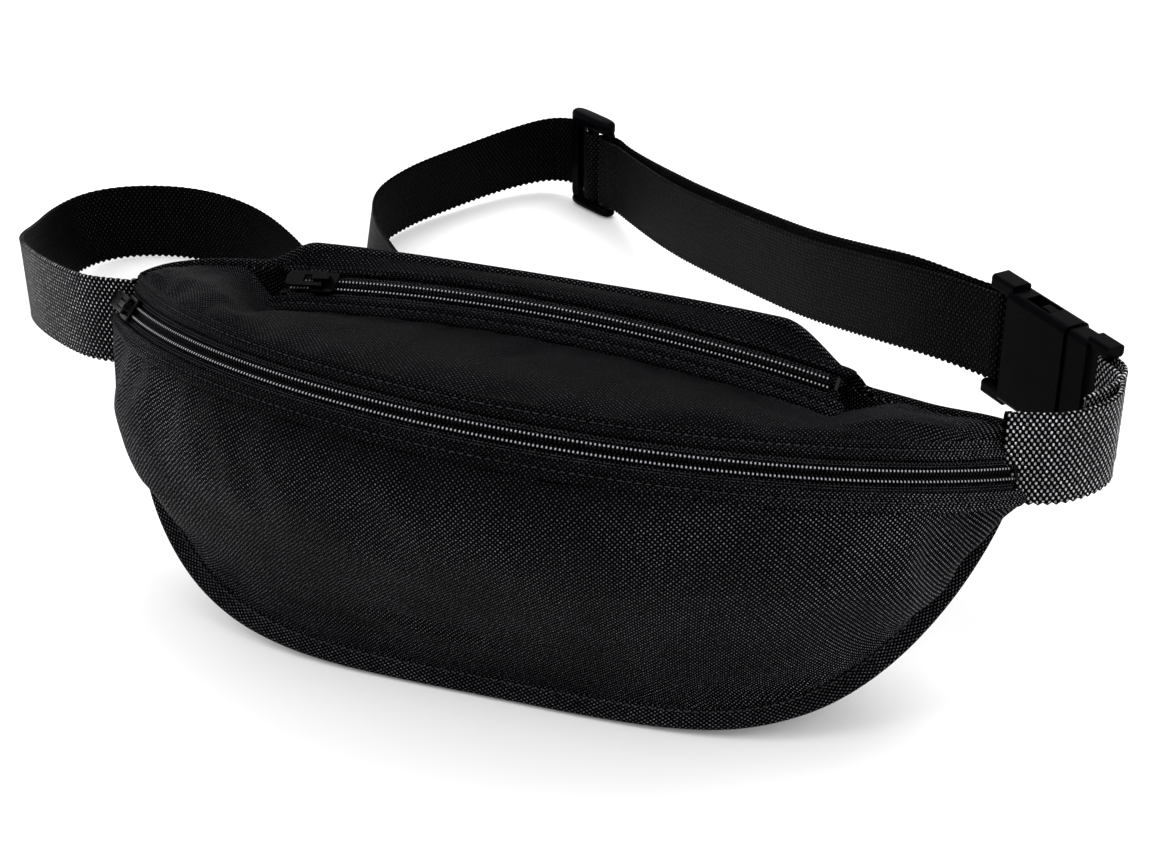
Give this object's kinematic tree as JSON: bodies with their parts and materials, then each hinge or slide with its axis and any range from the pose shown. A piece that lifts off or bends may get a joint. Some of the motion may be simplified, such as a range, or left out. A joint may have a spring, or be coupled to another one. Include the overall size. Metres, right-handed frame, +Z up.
{
  "type": "waist pack",
  "caption": "Soft waist pack with two curved coil zips, a bound crescent front pocket, a webbing belt, a strap adjuster and a side-release buckle.",
  "frame": {"origin": "Centre of the flat patch under the rounded back panel, where the filled pack stands on a table.", "axes": "+X runs along the pack towards its buckle end, +Y from the front pocket towards the wearer and the belt, +Z up."},
  "size_m": [0.5353, 0.4806, 0.1364],
  "materials": {
    "pack_fabric": "coated plain-weave polyester",
    "lining": "light plain-weave lining",
    "binding_tape": "ribbed woven binding tape",
    "zip_tape": "knitted zip tape",
    "zip_coil": "nylon monofilament coil",
    "zip_metal": "black enamel on die-cast zinc",
    "webbing": "coarse basket-weave polypropylene webbing",
    "acetal": "satin moulded acetal"
  },
  "bodies": {
    "pack": {"front_panel": "pack_fabric", "mid_panel": "pack_fabric", "back_panel": "pack_fabric", "back_strip": "pack_fabric", "divider_panel": "lining", "seam_binding": "binding_tape", "crest_binding": "binding_tape", "front_zip_upper_tape": "zip_tape", "front_zip_upper_coil": "zip_coil", "front_zip_upper_welt": "pack_fabric", "rear_zip_front_tape": "zip_tape", "rear_zip_front_coil": "zip_coil", "rear_zip_front_welt": "pack_fabric", "front_zip_stops": "zip_metal", "rear_zip_stops": "zip_metal", "long_strap": "webbing", "short_strap": "webbing", "left_strap_tack": "webbing", "right_strap_tack": "webbing", "buckle_socket": "acetal"},
    "front_slider": {"front_slider": "zip_metal"},
    "front_pull": {"front_pull": "zip_metal"},
    "rear_slider": {"rear_slider": "zip_metal"},
    "rear_pull": {"rear_pull": "zip_metal"},
    "front_lip": {"front_zip_lower_tape": "zip_tape", "front_zip_lower_coil": "zip_coil", "front_zip_lower_welt": "pack_fabric"},
    "rear_lip": {"rear_zip_back_tape": "zip_tape", "rear_zip_back_coil": "zip_coil", "rear_zip_back_welt": "pack_fabric"},
    "buckle_plug": {"buckle_plug": "acetal"},
    "prong_upper": {"buckle_prong_upper": "acetal"},
    "prong_lower": {"buckle_prong_lower": "acetal"},
    "tri_glide": {"tri_glide": "acetal"}
  },
  "joints": [
    {"name": "front_zip_travel", "type": "hinge", "parent": "pack", "child": "front_slider", "pos_m": [-0.00154, 0.16342, 0.05849], "axis": [0.0381, 0.3025, 0.9524], "range_deg": [0, 100]},
    {"name": "front_pull_swing", "type": "hinge", "parent": "front_slider", "child": "front_pull", "pos_m": [-0.16648, 0.02571, 0.1114], "axis": [0.3782, 0.5573, 0.7392], "range_deg": [0, 150]},
    {"name": "rear_zip_travel", "type": "hinge", "parent": "pack", "child": "rear_slider", "pos_m": [-0.01173, 0.24071, -0.2827], "axis": [0.0217, 0.902, 0.4312], "range_deg": [0, 24.5]},
    {"name": "rear_pull_swing", "type": "hinge", "parent": "rear_slider", "child": "rear_pull", "pos_m": [-0.0929, 0.04861, 0.12322], "axis": [0.0217, 0.902, 0.4312], "range_deg": [0, 150]},
    {"name": "front_pocket_lip", "type": "hinge", "parent": "pack", "child": "front_lip", "pos_m": [0, 0.042, 0.097], "axis": [0.9992, 0, -0.04], "range_deg": [0, 16], "deforming": ["front_zip_lower_tape", "front_zip_lower_coil", "front_zip_lower_welt"]},
    {"name": "rear_pocket_lip", "type": "hinge", "parent": "pack", "child": "rear_lip", "pos_m": [-0.001, 0.052, 0.1115], "axis": [-0.9995, 0.009, 0.0315], "range_deg": [0, 16], "deforming": ["rear_zip_back_tape", "rear_zip_back_coil", "rear_zip_back_welt"]},
    {"name": "buckle_release", "type": "slide", "parent": "pack", "child": "buckle_plug", "axis": [0.7193, -0.6947, 0], "range_m": [0, 0.035], "deforming": ["short_strap", "buckle_prong_upper", "buckle_prong_lower"]},
    {"name": "prong_upper_squeeze", "type": "hinge", "parent": "buckle_plug", "child": "prong_upper", "pos_m": [0.18879, 0.10308, 0.113], "axis": [-0.6947, -0.7193, 0], "range_deg": [0, 10], "stiffness_Nm_per_rad": 0.6},
    {"name": "prong_lower_squeeze", "type": "hinge", "parent": "buckle_plug", "child": "prong_lower", "pos_m": [0.18879, 0.10308, 0.081], "axis": [0.6947, 0.7193, 0], "range_deg": [0, 10], "stiffness_Nm_per_rad": 0.6},
    {"name": "belt_adjust", "type": "slide", "parent": "pack", "child": "tri_glide", "axis": [0.5857, -0.7972, 0.1464], "range_m": [0, 0.06], "deforming": ["long_strap"]}
  ],
  "couplings": [
    {"joint": "front_pocket_lip", "follows": "front_zip_travel", "ratio": 0.16},
    {"joint": "rear_pocket_lip", "follows": "rear_zip_travel", "ratio": 0.65306}
  ]
}
